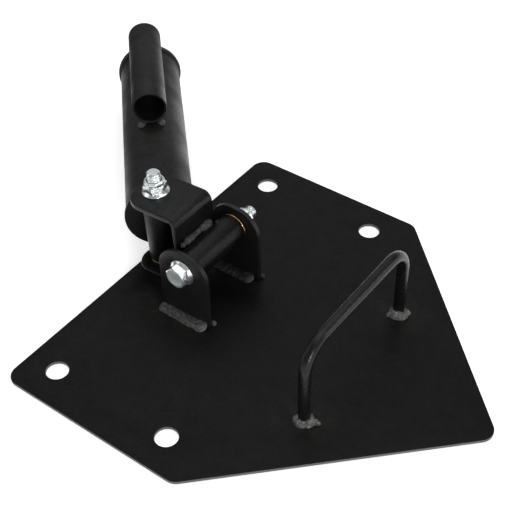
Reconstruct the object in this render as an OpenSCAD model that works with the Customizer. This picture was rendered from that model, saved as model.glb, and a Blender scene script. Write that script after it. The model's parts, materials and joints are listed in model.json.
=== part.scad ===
// Barbell pivot attachment: a five-sided floor plate with a grab handle, two ears that carry a
// tilting yoke, and a bar sleeve that swivels in the yoke. X runs toward the plate's point, Z is up.
// The origin is on the underside, at the centre of the four floor holes.

/* [Base plate] */
// Width of the plate, across its two parallel sides
plate_w = 350; // [300:1:420]
// Length of the parallel sides
side_len = 175; // [150:1:230]
// Length from the parallel sides to the plate's point
apex_len = 175; // [150:1:220]
// Thickness of the plate
plate_t = 3; // [2.5:0.1:5]
// Radius of the plate's five corners
corner_r = 12; // [6:1:20]
// Diameter of the four floor holes
hole_d = 19; // [12:0.5:24]
// Distance from each floor hole's centre to the plate's edges
hole_inset = 30; // [22:1:40]

/* [Ears] */
// Width of each ear
ear_w = 50.4; // [48:0.2:54]
// Thickness of each ear
ear_t = 4; // [3:0.5:6]
// Height of each ear above the plate
ear_h = 70.5; // [69:0.5:80]
// Radius of the ear's two upper corners
ear_r = 23; // [15:0.5:23.5]
// Clear width between the two ears
ear_gap = 66; // [60:0.5:80]

/* [Tilt axis] */
// Distance of the tilt axis behind the origin
pivot_back = 11; // [0:0.5:20]
// Height of the tilt axis above the floor
pivot_z = 54; // [53:0.5:60]

/* [Pivot tubes and bushes] */
// Outer diameter of the tilt tube and the swivel tube
pivot_od = 27; // [25:0.5:29]
// Outer diameter of the bushes
bush_od = 18; // [16:0.5:20]
// Thickness of the flange on each bush
bush_flange_t = 1.2; // [1:0.1:2]
// Length of each bush inside its tube
bush_len = 16; // [10:1:24]

/* [Bolts and nuts] */
// Diameter of both pivot bolts
bolt_d = 12; // [10:0.5:12.5]
// Length of the tilt bolt under its head
tilt_bolt_len = 95; // [94:0.5:115]
// Length of the swivel bolt under its head
swivel_bolt_len = 95; // [94:0.5:115]
// Distance across the flats of the heads and nuts
hex_af = 18; // [16:0.5:20]
// Diameter of the flange on the heads and nuts
flange_d = 23.6; // [22:0.2:28]
// Height of each bolt head, with its flange
head_h = 9.7; // [8:0.1:10.5]
// Height of each nut, with its flange and collar
nut_h = 12.5; // [11.5:0.5:16]

/* [Yoke] */
// Width of the yoke's bent strip
yoke_w = 48; // [42:0.5:54]
// Thickness of the yoke's bent strip
yoke_t = 5; // [4:0.5:6]
// Height of the yoke over both arms
yoke_h = 75; // [74:0.1:78]
// Outer radius of the yoke's two bends
yoke_bend_r = 8; // [6.5:0.5:12]
// Radius of the corners at the arms' free ends
yoke_end_r = 17.5; // [10:0.5:20]
// Length of the arms beyond the swivel axis
arm_past = 17.5; // [16:0.5:24]
// Distance from the tilt axis to the swivel axis
swivel_reach = 54; // [53.5:0.5:60]

/* [Bar sleeve] */
// Outer diameter of the sleeve tube
sleeve_od = 60; // [56:0.5:60.5]
// Wall of the sleeve tube
sleeve_wall = 3; // [2:0.5:4]
// Length of the sleeve tube
sleeve_len = 238; // [200:1:300]
// Diameter of the disc that closes the sleeve
disc_d = 62.4; // [61:0.1:63]
// Thickness of the disc that closes the sleeve
disc_t = 4; // [3:0.5:5]
// Wall of the plastic liner inside the sleeve
liner_wall = 1.5; // [1:0.1:2]
// Diameter of the liner's flange at the sleeve's mouth
liner_flange_d = 64; // [62:0.5:68]
// Thickness of the liner's flange
liner_flange_t = 4; // [2:0.5:6]

/* [Bar tube] */
// Outer diameter of the small tube on top of the sleeve
bar_tube_od = 32; // [28:0.5:36]
// Wall of the small tube
bar_tube_wall = 2; // [1.5:0.5:3]
// Length of the small tube
bar_tube_len = 134.5; // [100:0.5:140]
// Distance from the sleeve tube's open end back to the small tube's far end
bar_tube_inset = 6; // [2:0.5:20]

/* [Grab handle] */
// Diameter of the handle's rod
rod_d = 10; // [8:0.5:14]
// Distance between the centres of the handle's two legs
handle_span = 141; // [120:1:170]
// Height of the handle's rod centre above the plate
handle_h = 75.4; // [60:0.1:90]
// Bend radius of the handle, at the rod's centre
handle_bend_r = 23; // [16:0.5:30]
// Distance of the handle ahead of the parallel sides
handle_from = 45.5; // [35:0.5:60]

/* [Pose as shown] */
// Swivel of the sleeve from straight ahead of the yoke
shown_swivel = 47; // [0:1:85]

/* [Hidden] */
$fn = 96;

// Clearances
// Radial gap between a bolt and the bushes that turn on it
run_gap = 0.05;
// Radial gap between a bolt and the holes that it passes through
hole_gap = 0.25;
// Radial gap of a part that is pressed or screwed into another
seat_gap = 0.02;
// Gap between each swivel bush's flange and the yoke's arm
swivel_play = 0.2;
// Gap between each tilt bush's flange and its ear
tilt_play = 1.2;
// Gap between the swivel bolt's head and the plate, at the tilt stop
stop_gap = 0.2;
// How far a cutter runs past the face that it cuts
past = 1;

// Colours as seen
black = [0.075, 0.075, 0.08];
zinc = [0.78, 0.80, 0.80];
bronze = [0.80, 0.55, 0.28];
nylon = [0.20, 0.42, 0.40];
liner_black = [0.05, 0.05, 0.05];

// Places worked out from the sizes above
back_x = -side_len / 2;
shoulder_x = side_len / 2;
point_x = shoulder_x + apex_len;
hole_x = side_len / 2 - hole_inset;
hole_y = plate_w / 2 - hole_inset;
handle_x = shoulder_x + handle_from;
pivot_r = pivot_od / 2;
tilt_tube_len = ear_gap - 2 * (bush_flange_t + tilt_play);
yoke_gap = yoke_h - 2 * yoke_t;
swivel_tube_len = yoke_gap - 2 * (bush_flange_t + swivel_play);
arm_end = swivel_reach + arm_past;
sleeve_r = sleeve_od / 2;
sleeve_from = pivot_r + disc_t;
mouth_from = sleeve_from + sleeve_len;
liner_od = sleeve_od - 2 * sleeve_wall - 2 * seat_gap;
bar_bore_d = liner_od - 2 * liner_wall;
bar_tube_up = (sleeve_od + bar_tube_od) / 2;
bar_tube_to = mouth_from - bar_tube_inset;
bar_tube_from = bar_tube_to - bar_tube_len;

// The tilt stop: the sleeve sinks until the rim of the swivel bolt's head meets the plate
head_tip_r = hex_af / 2 * 0.95;
stop_down = yoke_h / 2 + head_h;
stop_out = swivel_reach + head_tip_r;
stop_drop = pivot_z - plate_t - stop_gap;
shown_drop = atan2(stop_out, stop_down) - acos(stop_drop / norm([stop_out, stop_down]));

// Weld sizes
ear_bead_r = 6;
yoke_bead_r = 5.5;
yoke_bead_up = 11;
foot_bead_r = 5.5;
tube_bead_r = 3.5;
bar_bead_r = 3.5;
bar_bead_len = 22;

// Frames that the moving parts are drawn in
module tilt_frame() {
    translate([-pivot_back, 0, pivot_z]) rotate([0, -shown_drop, 0]) children();
}

module swivel_frame() {
    tilt_frame() translate([-swivel_reach, 0, 0]) rotate([0, 0, -shown_swivel]) children();
}

// Turns a shape drawn up the Z axis so that it runs along the sleeve, with its X side up
module along_sleeve() {
    swivel_frame() rotate([0, -90, 0]) children();
}

// Turns a shape drawn up the Z axis so that it runs along Y
module along_y() {
    rotate([-90, 0, 0]) children();
}

// Outline with a radius for each corner: its straight stretches as a polygon, its bends as circles
function unit(v) = v / norm(v);
function toward(p, i, step) = unit(p[(i + step + len(p)) % len(p)] - p[i]);
function half_angle(p, i) = acos(toward(p, i, 1) * toward(p, i, -1)) / 2;
function corner_centre(p, i, r) =
    p[i] + unit(toward(p, i, 1) + toward(p, i, -1)) * r / sin(half_angle(p, i));
function corner_ends(p, i, r) = r == 0 ? [p[i]] :
    [for (step = [-1, 1]) p[i] + toward(p, i, step) * r / tan(half_angle(p, i))];

module rounded_outline(p, radii) {
    polygon([for (i = [0 : len(p) - 1]) each corner_ends(p, i, radii[i])]);
    for (i = [0 : len(p) - 1]) if (radii[i] > 0)
        translate(corner_centre(p, i, radii[i])) circle(radii[i]);
}

module tube(od, id, length) {
    difference() {
        cylinder(d = od, h = length);
        translate([0, 0, -past]) cylinder(d = id, h = length + 2 * past);
    }
}

// A rod with round ends, centred on the origin and lying along Y
module bead(r, length) {
    straight = length / 2 - r;
    translate([0, -straight, 0]) along_y() cylinder(r = r, h = 2 * straight);
    for (side = [-1, 1]) translate([0, side * straight, 0]) sphere(r);
}

// Bolt and nut shapes, with the bearing face at the origin and the shank up the Z axis
module hex_prism(h, tip_r) {
    chamfer = hex_af / sqrt(3) - tip_r;
    slope = 0.55;
    intersection() {
        cylinder(d = hex_af / cos(30), h = h, $fn = 6);
        rotate_extrude() polygon([[0, 0], [tip_r + chamfer, 0], [tip_r + chamfer, h - chamfer * slope],
            [tip_r, h], [0, h]]);
    }
}

module cone_flange() {
    rim = 1.3;
    rise = 3.2;
    rotate_extrude() polygon([[0, 0], [flange_d / 2, 0], [flange_d / 2, rim],
        [hex_af / 2, rise], [0, rise]]);
}

module flange_bolt(length) {
    tip = 1.2;
    dish_d = hex_af * 0.62;
    dish_t = 0.8;
    difference() {
        mirror([0, 0, 1]) union() {
            cone_flange();
            hex_prism(head_h, head_tip_r);
        }
        translate([0, 0, -head_h - past]) cylinder(d = dish_d, h = dish_t + past);
    }
    rotate_extrude() polygon([[0, 0], [bolt_d / 2, 0], [bolt_d / 2, length - tip],
        [bolt_d / 2 - tip, length], [0, length]]);
}

ring_t = 2.6;
ring_od = bolt_d + 3.4;
collar_lip = 0.9;
module flange_nut() {
    collar_d = hex_af * 0.96;
    hex_top = nut_h - ring_t - collar_lip;
    bore_d = bolt_d + 2 * seat_gap;
    mouth_d = ring_od - 1.4;
    difference() {
        union() {
            cone_flange();
            hex_prism(hex_top, head_tip_r);
            rotate_extrude() polygon([[0, 0], [collar_d / 2, 0], [collar_d / 2, nut_h - collar_lip],
                [collar_d / 2 - collar_lip, nut_h], [0, nut_h]]);
        }
        translate([0, 0, -past]) cylinder(d = bore_d, h = nut_h + 2 * past);
        translate([0, 0, hex_top]) cylinder(d = ring_od + 2 * seat_gap, h = ring_t);
        translate([0, 0, hex_top]) cylinder(d = mouth_d, h = nut_h);
    }
}

module lock_ring() {
    translate([0, 0, nut_h - ring_t - collar_lip])
        tube(ring_od, bolt_d + 2 * seat_gap, ring_t - seat_gap);
}

// A flanged bush with its flange's outer face at the origin and its body up the Z axis
module flanged_bush() {
    difference() {
        union() {
            cylinder(d = pivot_od - 0.4, h = bush_flange_t);
            cylinder(d = bush_od - 2 * seat_gap, h = bush_flange_t + bush_len);
        }
        translate([0, 0, -past]) cylinder(d = bolt_d + 2 * run_gap, h = bush_flange_t + bush_len + 2 * past);
    }
}

// Base plate, ears and handle
module base_plate() {
    outline = [[back_x, -plate_w / 2], [shoulder_x, -plate_w / 2], [point_x, 0],
        [shoulder_x, plate_w / 2], [back_x, plate_w / 2]];
    color(black) difference() {
        linear_extrude(plate_t) rounded_outline(outline, [for (corner = outline) corner_r]);
        for (sx = [-1, 1], sy = [-1, 1])
            translate([sx * hole_x, sy * hole_y, -past]) cylinder(d = hole_d, h = plate_t + 2 * past);
    }
}

module ear_outline() {
    side_x = ear_w / 2;
    rounded_outline([[-side_x, 0], [side_x, 0], [side_x, ear_h], [-side_x, ear_h]], [0, 0, ear_r, ear_r]);
}

// An ear that starts at y0 and is ear_t thick
module ear(y0) {
    color(black) difference() {
        translate([-pivot_back, y0 + ear_t, plate_t]) rotate([90, 0, 0]) linear_extrude(ear_t) ear_outline();
        translate([-pivot_back, y0 - past, pivot_z]) along_y()
            cylinder(d = bolt_d + 2 * hole_gap, h = ear_t + 2 * past);
    }
}

module front_ear() {
    ear(-ear_gap / 2 - ear_t);
}

module rear_ear() {
    ear(ear_gap / 2);
}

// A quarter-round bead in the corner between the floor and a wall, lying along X on the wall's +Y side
module foot_bead(r, length) {
    intersection() {
        rotate([0, 0, 90]) bead(r, length);
        translate([-length, 0, 0]) cube([2 * length, 2 * r, 2 * r]);
    }
}

// Weld at one ear's foot: a long bead along its front and a short one behind each end. Side is -1 or 1
module ear_weld(side) {
    end_len = 2.6 * ear_bead_r;
    end_x = ear_w / 2 - end_len / 4;
    color(black) translate([-pivot_back, side * (ear_gap + ear_t) / 2, plate_t])
        rotate([0, 0, 180]) {
            translate([0, ear_t / 2, 0]) foot_bead(ear_bead_r, ear_w + 4);
            for (end = [-1, 1]) translate([end * end_x, -ear_t / 2, 0]) rotate([0, 0, 180])
                foot_bead(ear_bead_r, end_len);
        }
}

module front_ear_weld() {
    ear_weld(-1);
}

module rear_ear_weld() {
    ear_weld(1);
}

// Bent rod: two legs, two bends and a level grip
module handle() {
    leg = handle_h - handle_bend_r;
    grip = handle_span - 2 * handle_bend_r;
    color(black) translate([handle_x, 0, plate_t]) {
        for (side = [-1, 1]) {
            translate([0, side * handle_span / 2, 0]) cylinder(d = rod_d, h = leg);
            translate([0, side * grip / 2, leg]) rotate([0, -90, 0]) rotate([0, 0, side < 0 ? -90 : 0])
                rotate_extrude(angle = 90) translate([handle_bend_r, 0]) circle(d = rod_d);
        }
        translate([0, -grip / 2, handle_h]) along_y() cylinder(d = rod_d, h = grip);
    }
}

// A low collar of weld round one foot of the handle
module handle_weld(side) {
    color(black) translate([handle_x, side * handle_span / 2, plate_t]) difference() {
        rotate_extrude() intersection() {
            translate([rod_d / 2, 0]) circle(foot_bead_r);
            square(rod_d / 2 + foot_bead_r);
        }
        translate([0, 0, -past]) cylinder(d = rod_d, h = foot_bead_r + 2 * past);
    }
}

module handle_weld_front() {
    handle_weld(-1);
}

module handle_weld_rear() {
    handle_weld(1);
}

// Tilt joint: bolt through the ears, tube and bushes that turn on it
module tilt_bolt() {
    color(zinc) translate([-pivot_back, -ear_gap / 2 - ear_t, pivot_z]) along_y() flange_bolt(tilt_bolt_len);
}

module tilt_nut() {
    color(zinc) translate([-pivot_back, ear_gap / 2 + ear_t, pivot_z]) along_y() flange_nut();
}

module tilt_nut_ring() {
    color(nylon) translate([-pivot_back, ear_gap / 2 + ear_t, pivot_z]) along_y() lock_ring();
}

module tilt_tube() {
    color(black) tilt_frame() translate([0, -tilt_tube_len / 2, 0]) along_y()
        tube(pivot_od, bush_od, tilt_tube_len);
}

module tilt_bush_front() {
    color(bronze) tilt_frame() translate([0, -ear_gap / 2 + tilt_play, 0]) along_y() flanged_bush();
}

module tilt_bush_rear() {
    color(bronze) tilt_frame() translate([0, ear_gap / 2 - tilt_play, 0]) rotate([90, 0, 0]) flanged_bush();
}

// Yoke: one strip bent to a U, its back welded to the tilt tube
module bent_block(far, near, half_h, r) {
    rounded_outline([[far, -half_h], [near, -half_h], [near, half_h], [far, half_h]], [0, r, r, 0]);
}

module yoke_profile() {
    far = -arm_end - past;
    difference() {
        bent_block(far, -pivot_r, yoke_h / 2, yoke_bend_r);
        bent_block(far - past, -pivot_r - yoke_t, yoke_h / 2 - yoke_t, yoke_bend_r - yoke_t);
    }
}

module arm_plan() {
    side_y = yoke_w / 2;
    rounded_outline([[0, -side_y], [0, side_y], [-arm_end, side_y], [-arm_end, -side_y]],
        [0, 0, yoke_end_r, yoke_end_r]);
}

module yoke() {
    color(black) tilt_frame() difference() {
        intersection() {
            translate([0, yoke_w / 2, 0]) rotate([90, 0, 0]) linear_extrude(yoke_w) yoke_profile();
            translate([0, 0, -yoke_h]) linear_extrude(2 * yoke_h) arm_plan();
        }
        translate([-swivel_reach, 0, -yoke_h]) cylinder(d = bolt_d + 2 * hole_gap, h = 2 * yoke_h);
    }
}

// Beads above and below the tilt tube, along the yoke's back
module yoke_welds() {
    bead_len = yoke_w - 6;
    color(black) tilt_frame() difference() {
        for (side = [-1, 1]) translate([-pivot_r, 0, side * yoke_bead_up]) bead(yoke_bead_r, bead_len);
        translate([-pivot_r - yoke_h, -yoke_w, -yoke_h]) cube([yoke_h, 2 * yoke_w, 2 * yoke_h]);
        translate([0, -yoke_w, 0]) along_y() cylinder(d = pivot_od, h = 2 * yoke_w);
    }
}

// Swivel joint: bolt through the yoke's arms, tube and bushes that turn on it
module swivel_bolt() {
    color(zinc) tilt_frame() translate([-swivel_reach, 0, -yoke_h / 2]) flange_bolt(swivel_bolt_len);
}

module swivel_nut() {
    color(zinc) tilt_frame() translate([-swivel_reach, 0, yoke_h / 2]) flange_nut();
}

module swivel_nut_ring() {
    color(nylon) tilt_frame() translate([-swivel_reach, 0, yoke_h / 2]) lock_ring();
}

module swivel_tube() {
    color(black) swivel_frame() translate([0, 0, -swivel_tube_len / 2])
        tube(pivot_od, bush_od, swivel_tube_len);
}

module swivel_bush_upper() {
    color(bronze) swivel_frame() translate([0, 0, yoke_gap / 2 - swivel_play])
        mirror([0, 0, 1]) flanged_bush();
}

module swivel_bush_lower() {
    color(bronze) swivel_frame() translate([0, 0, -yoke_gap / 2 + swivel_play]) flanged_bush();
}

// Beads down both sides of the swivel tube, in the nook against the disc
module swivel_tube_welds() {
    bead_len = 44;
    bead_side = 7.5;
    color(black) swivel_frame() difference() {
        for (side = [-1, 1]) translate([-pivot_r, side * bead_side, 0]) rotate([90, 0, 0])
            bead(tube_bead_r, bead_len);
        translate([-pivot_r - sleeve_r, -sleeve_r, -sleeve_od]) cube([sleeve_r, sleeve_od, 2 * sleeve_od]);
        translate([0, 0, -sleeve_od]) cylinder(d = pivot_od, h = 2 * sleeve_od);
    }
}

// Bar sleeve: disc, tube and liner on one axis
module sleeve_end_disc() {
    color(black) along_sleeve() translate([0, 0, pivot_r]) cylinder(d = disc_d, h = disc_t);
}

module sleeve_tube() {
    color(black) along_sleeve() translate([0, 0, sleeve_from])
        tube(sleeve_od, sleeve_od - 2 * sleeve_wall, sleeve_len);
}

module sleeve_liner() {
    color(liner_black) along_sleeve() difference() {
        union() {
            translate([0, 0, sleeve_from]) cylinder(d = liner_od, h = sleeve_len + liner_flange_t);
            translate([0, 0, mouth_from]) cylinder(d = liner_flange_d, h = liner_flange_t);
        }
        translate([0, 0, sleeve_from - past])
            cylinder(d = bar_bore_d, h = sleeve_len + liner_flange_t + 2 * past);
    }
}

// Small open tube on top of the sleeve, with two beads under each of its ends
module bar_tube() {
    color(black) along_sleeve() translate([bar_tube_up, 0, bar_tube_from])
        tube(bar_tube_od, bar_tube_od - 2 * bar_tube_wall, bar_tube_len);
}

module bar_tube_weld(from) {
    bead_side = 7.5;
    color(black) along_sleeve() difference() {
        for (side = [-1, 1]) translate([sleeve_r, side * bead_side, from + bar_bead_len / 2])
            rotate([90, 0, 0]) bead(bar_bead_r, bar_bead_len);
        cylinder(d = sleeve_od, h = 2 * sleeve_len);
        translate([bar_tube_up, 0, 0]) cylinder(d = bar_tube_od, h = 2 * sleeve_len);
    }
}

module bar_tube_weld_near() {
    bar_tube_weld(bar_tube_from - bar_bead_r / 2);
}

module bar_tube_weld_far() {
    bar_tube_weld(bar_tube_to + bar_bead_r / 2 - bar_bead_len);
}

base_plate();
front_ear();
rear_ear();
front_ear_weld();
rear_ear_weld();
handle();
handle_weld_front();
handle_weld_rear();
tilt_bolt();
tilt_nut();
tilt_nut_ring();
tilt_tube();
tilt_bush_front();
tilt_bush_rear();
yoke();
yoke_welds();
swivel_bolt();
swivel_nut();
swivel_nut_ring();
swivel_tube();
swivel_bush_upper();
swivel_bush_lower();
swivel_tube_welds();
sleeve_tube();
sleeve_end_disc();
sleeve_liner();
bar_tube();
bar_tube_weld_near();
bar_tube_weld_far();
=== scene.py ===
# %% [markdown]
# # Barbell pivot attachment
# This lesson dresses a finished CAD assembly: a welded floor plate, a yoke that tilts in two ears, and a bar
# sleeve that swivels in the yoke. The CAD is the frame. It says where every piece is, so nothing is fitted
# by eye, and each new piece either takes the place of one CAD node or stays away.

# %% Load the frame and keep its box
import json
import math
import random
import bpy
from mathutils import Matrix, Vector


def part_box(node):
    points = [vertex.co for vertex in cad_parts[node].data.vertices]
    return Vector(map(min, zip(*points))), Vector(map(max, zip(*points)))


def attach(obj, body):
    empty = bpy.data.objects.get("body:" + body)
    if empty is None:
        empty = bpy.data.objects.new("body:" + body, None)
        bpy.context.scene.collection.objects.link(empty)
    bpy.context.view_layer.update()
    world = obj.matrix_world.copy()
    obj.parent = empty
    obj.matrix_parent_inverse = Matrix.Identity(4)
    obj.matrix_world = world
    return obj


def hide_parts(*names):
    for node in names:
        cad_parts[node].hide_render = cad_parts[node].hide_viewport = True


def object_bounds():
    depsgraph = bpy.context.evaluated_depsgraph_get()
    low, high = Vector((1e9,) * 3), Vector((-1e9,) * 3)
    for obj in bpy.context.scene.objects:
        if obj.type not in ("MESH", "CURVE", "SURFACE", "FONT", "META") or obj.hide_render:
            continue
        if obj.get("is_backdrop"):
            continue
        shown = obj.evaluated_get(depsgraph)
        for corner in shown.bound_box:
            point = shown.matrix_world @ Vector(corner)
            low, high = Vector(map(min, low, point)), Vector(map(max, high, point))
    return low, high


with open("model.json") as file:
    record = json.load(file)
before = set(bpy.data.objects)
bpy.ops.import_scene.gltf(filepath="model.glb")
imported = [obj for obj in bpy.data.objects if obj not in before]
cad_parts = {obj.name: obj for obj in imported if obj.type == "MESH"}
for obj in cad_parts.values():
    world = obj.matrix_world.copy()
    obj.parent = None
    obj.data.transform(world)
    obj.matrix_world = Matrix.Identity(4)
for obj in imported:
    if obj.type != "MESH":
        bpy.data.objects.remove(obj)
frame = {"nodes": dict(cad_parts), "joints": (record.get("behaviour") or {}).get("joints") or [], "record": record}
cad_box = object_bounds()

MM = 0.001

# %% [markdown]
# ## Places
# The two hinges say where the moving pieces are. The tilt hinge lies along Y between the ears. The swivel
# hinge stands in the yoke, and the big bore's axis runs along the sleeve. Three matrices built from them let
# every turned piece be drawn upright on Z and then be put in its place.

# %% Matrices for the turned pieces
joints = {joint["name"]: joint for joint in frame["joints"]}
mounts = {mount["name"]: mount for mount in frame["record"]["mounts"]}
tilt_point = Vector(joints["tilt"]["pos_m"])
swivel_point = Vector(joints["swivel"]["pos_m"])
swivel_up = Vector(joints["swivel"]["axis"]).normalized()
sleeve_way = Vector(mounts["sleeve_bore"]["axis"]).normalized()


def place(origin, x, z):
    """A matrix that puts a piece's own Z along z and its own X along x."""
    z = z.normalized()
    x = (x - z * x.dot(z)).normalized()
    turn = Matrix((x, z.cross(x), z)).transposed().to_4x4()
    return Matrix.Translation(origin) @ turn


UP = Vector((0, 0, 1))
Y_WAY = Vector((0, 1, 0))
yoke_back = (tilt_point - swivel_point).normalized()
tilt_place = place(tilt_point, UP, Y_WAY)
swivel_place = place(swivel_point, yoke_back, swivel_up)
sleeve_place = place(swivel_point, swivel_up, sleeve_way)
print("tilt at", tuple(round(c, 4) for c in tilt_point))
print("swivel at", tuple(round(c, 4) for c in swivel_point))

# %% [markdown]
# ## Working by hand in code
# Blender's operators act on what is selected, so each step starts by picking one object. A finished piece is
# settled: its place goes into its mesh, and the object itself stays at the origin as the CAD nodes do. Then
# it is handed over: it rides on its body, gets its finish, and stands for its CAD node.

# %% Picking, settling and applying
SHARPEST_SMOOTH = 35


def pick(piece):
    """Select one object only, and make it the active one."""
    bpy.ops.object.select_all(action="DESELECT")
    piece.select_set(True)
    bpy.context.view_layer.objects.active = piece
    return piece


def settle(piece, matrix=None):
    """Move a piece to its place and give that place to its mesh."""
    if matrix is not None:
        piece.matrix_world = matrix @ piece.matrix_world
    pick(piece)
    bpy.ops.object.transform_apply(location=True, rotation=True, scale=True)
    return piece


def apply(piece, kind, **settings):
    """Add one modifier and apply it at once."""
    modifier = piece.modifiers.new(kind.lower(), kind)
    for key, value in settings.items():
        setattr(modifier, key, value)
    pick(piece)
    bpy.ops.object.modifier_apply(modifier=modifier.name)
    return piece


def smooth(piece, degrees=SHARPEST_SMOOTH):
    """Smooth shading that keeps edges sharper than the angle."""
    pick(piece)
    bpy.ops.object.shade_smooth_by_angle(angle=math.radians(degrees))
    return piece


# %% Handing a piece over
def finish_piece(piece, body, slot, material, *nodes):
    """Hang a finished piece on its body, and let it stand for CAD nodes."""
    piece.data.materials.clear()
    piece.data.materials.append(material)
    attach(piece, body)
    if nodes:
        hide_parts(*nodes)
    print(piece.name, "rides on", body, "with", len(piece.data.polygons), "faces")
    return piece


# %% [markdown]
# ## Shader sums
# Materials are written as sums on values. A Value wraps one socket, and an operator on it adds the Math node
# that does the same. Every other node comes from one method that sets its settings first and its sockets
# next. Patterns read Object coordinates in metres, so a noise's scale is about the number of its spots to a
# metre.

# %% A value that adds its own nodes
class Value:
    """One output socket, with the sums that the materials use."""

    def __init__(self, tree, socket):
        self.tree = tree
        self.socket = socket

    def math(self, operation, other, swap=False):
        first, second = (other, self) if swap else (self, other)
        return self.tree.node("ShaderNodeMath", {"operation": operation}, {0: first, 1: second})["Value"]

    def __add__(self, other):
        return self.math("ADD", other)

    def __sub__(self, other):
        return self.math("SUBTRACT", other)

    def __rsub__(self, other):
        return self.math("SUBTRACT", other, swap=True)

    def __mul__(self, other):
        return self.math("MULTIPLY", other)

    def clamped(self):
        return self.math("MINIMUM", 1.0)

    __radd__ = __add__
    __rmul__ = __mul__


# %% A tree that adds any node
FULL_CORE = 0.25


class Tree:
    """A material's nodes, or the world's, with one method that adds any node."""

    def __init__(self, owner):
        owner.use_nodes = True
        self.tree = owner.node_tree
        self.tree.nodes.clear()

    def node(self, kind, settings=None, sockets=None):
        """Add a node with its settings, then the values or links of its sockets."""
        new = self.tree.nodes.new(kind)
        for key, value in (settings or {}).items():
            setattr(new, key, value)
        for key, value in (sockets or {}).items():
            if isinstance(value, Value):
                self.tree.links.new(value.socket, new.inputs[key])
            else:
                new.inputs[key].default_value = value
        return {out.name: Value(self, out) for out in new.outputs if out.enabled}

    def place(self):
        return self.node("ShaderNodeTexCoord")["Object"]

    def noise(self, scale, detail=2.0, rough=0.5, spread=0.0):
        return self.node("ShaderNodeTexNoise", {}, {"Vector": self.place(), "Scale": scale, "Detail": detail,
                         "Roughness": rough, "Distortion": spread})["Fac"]

    def ramp(self, value, low, high):
        """Stretch a value so that low becomes 0 and high becomes 1."""
        sockets = {"Value": value, "From Min": low, "From Max": high}
        return self.node("ShaderNodeMapRange", {}, sockets)["Result"]

    def vector(self, operation, *sides):
        return self.node("ShaderNodeVectorMath", {"operation": operation}, dict(enumerate(sides)))

    def near(self, centre, reach):
        """1 round a place, falling to 0 at its reach from it, along each axis."""
        away = self.vector("SUBTRACT", self.place(), centre)["Vector"]
        scaled = self.vector("DIVIDE", away, reach)["Vector"]
        return self.ramp(self.vector("LENGTH", scaled)["Value"], 1, FULL_CORE)

    def blend(self, factor, first, second):
        sockets = {"Factor": factor, "A": first, "B": second}
        return self.node("ShaderNodeMix", {"data_type": "RGBA"}, sockets)["Result"]

    def bump(self, height, strength, distance):
        sockets = {"Height": height, "Strength": strength, "Distance": distance}
        return self.node("ShaderNodeBump", {}, sockets)["Normal"]

    def principled(self, **sockets):
        """A Principled BSDF. Its sockets are named with _ for each space."""
        named = {key.replace("_", " "): value for key, value in sockets.items()}
        return self.node("ShaderNodeBsdfPrincipled", {}, named)["BSDF"]

    def finish(self, shader):
        """End a material in a shader."""
        self.node("ShaderNodeOutputMaterial", {}, {"Surface": shader})


def grey(level, warm=0.0):
    """A grey, or a slightly warm one."""
    return (level * (1 + warm), level, level * (1 - warm), 1)


print("a warm grey of 0.5:", grey(0.5, 0.02))


# %% [markdown]
# ## Black powder coat
# The steel is powder coated: a thin black skin that is satin and never quite even. Close up it has the fine
# pebble of orange peel. Large clouds in the roughness make the sheen wander, and a few specks of dust lie on
# it. The shine is blotchy, as if wiped, so two shaders that differ only in their shine are mixed by a patchy
# mask. Near the welds the heat left a faint brown haze. The plate's cut edges and the walls of its holes are
# painted lighter, a painted light that stands for the white floor lighting them: there the surface stands
# upright, so a mask made from its normal finds them.

# %% Masks of the coat
CLOUDS, GRAIN, PEBBLE, DUST = 18, 330, 900, 620
SMOKE, WIPES, FINE_WIPES = 75, 78, 560
SMOKE_BROWN = (0.019, 0.0175, 0.0155, 1)
DUST_GREY = grey(0.30)
PEEL_HEIGHT = 0.0006


def burn_haze(tree, burns):
    """Smoke round the places where welding heat left its mark."""
    smoke = tree.ramp(tree.noise(SMOKE, 4.0, 0.65, 0.8), 0.36, 0.66)
    return sum(tree.near(*burn) for burn in burns).clamped() * smoke


def upright_faces(tree):
    """1 where the surface stands upright, and 0 where it lies level."""
    normal = tree.node("ShaderNodeNewGeometry")["Normal"]
    level_part = tree.node("ShaderNodeSeparateXYZ", {}, {"Vector": normal})["Z"].math("ABSOLUTE", 0.0)
    return tree.ramp(level_part, 0.75, 0.25)


def wiped_patches(tree):
    """Soft patches with fine ones in them."""
    large = tree.ramp(tree.noise(WIPES, 3.0, 0.6, 0.5), 0.34, 0.66)
    small = tree.ramp(tree.noise(FINE_WIPES, 2.0), 0.3, 0.7)
    return large * 0.4 + small * 0.6


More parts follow.
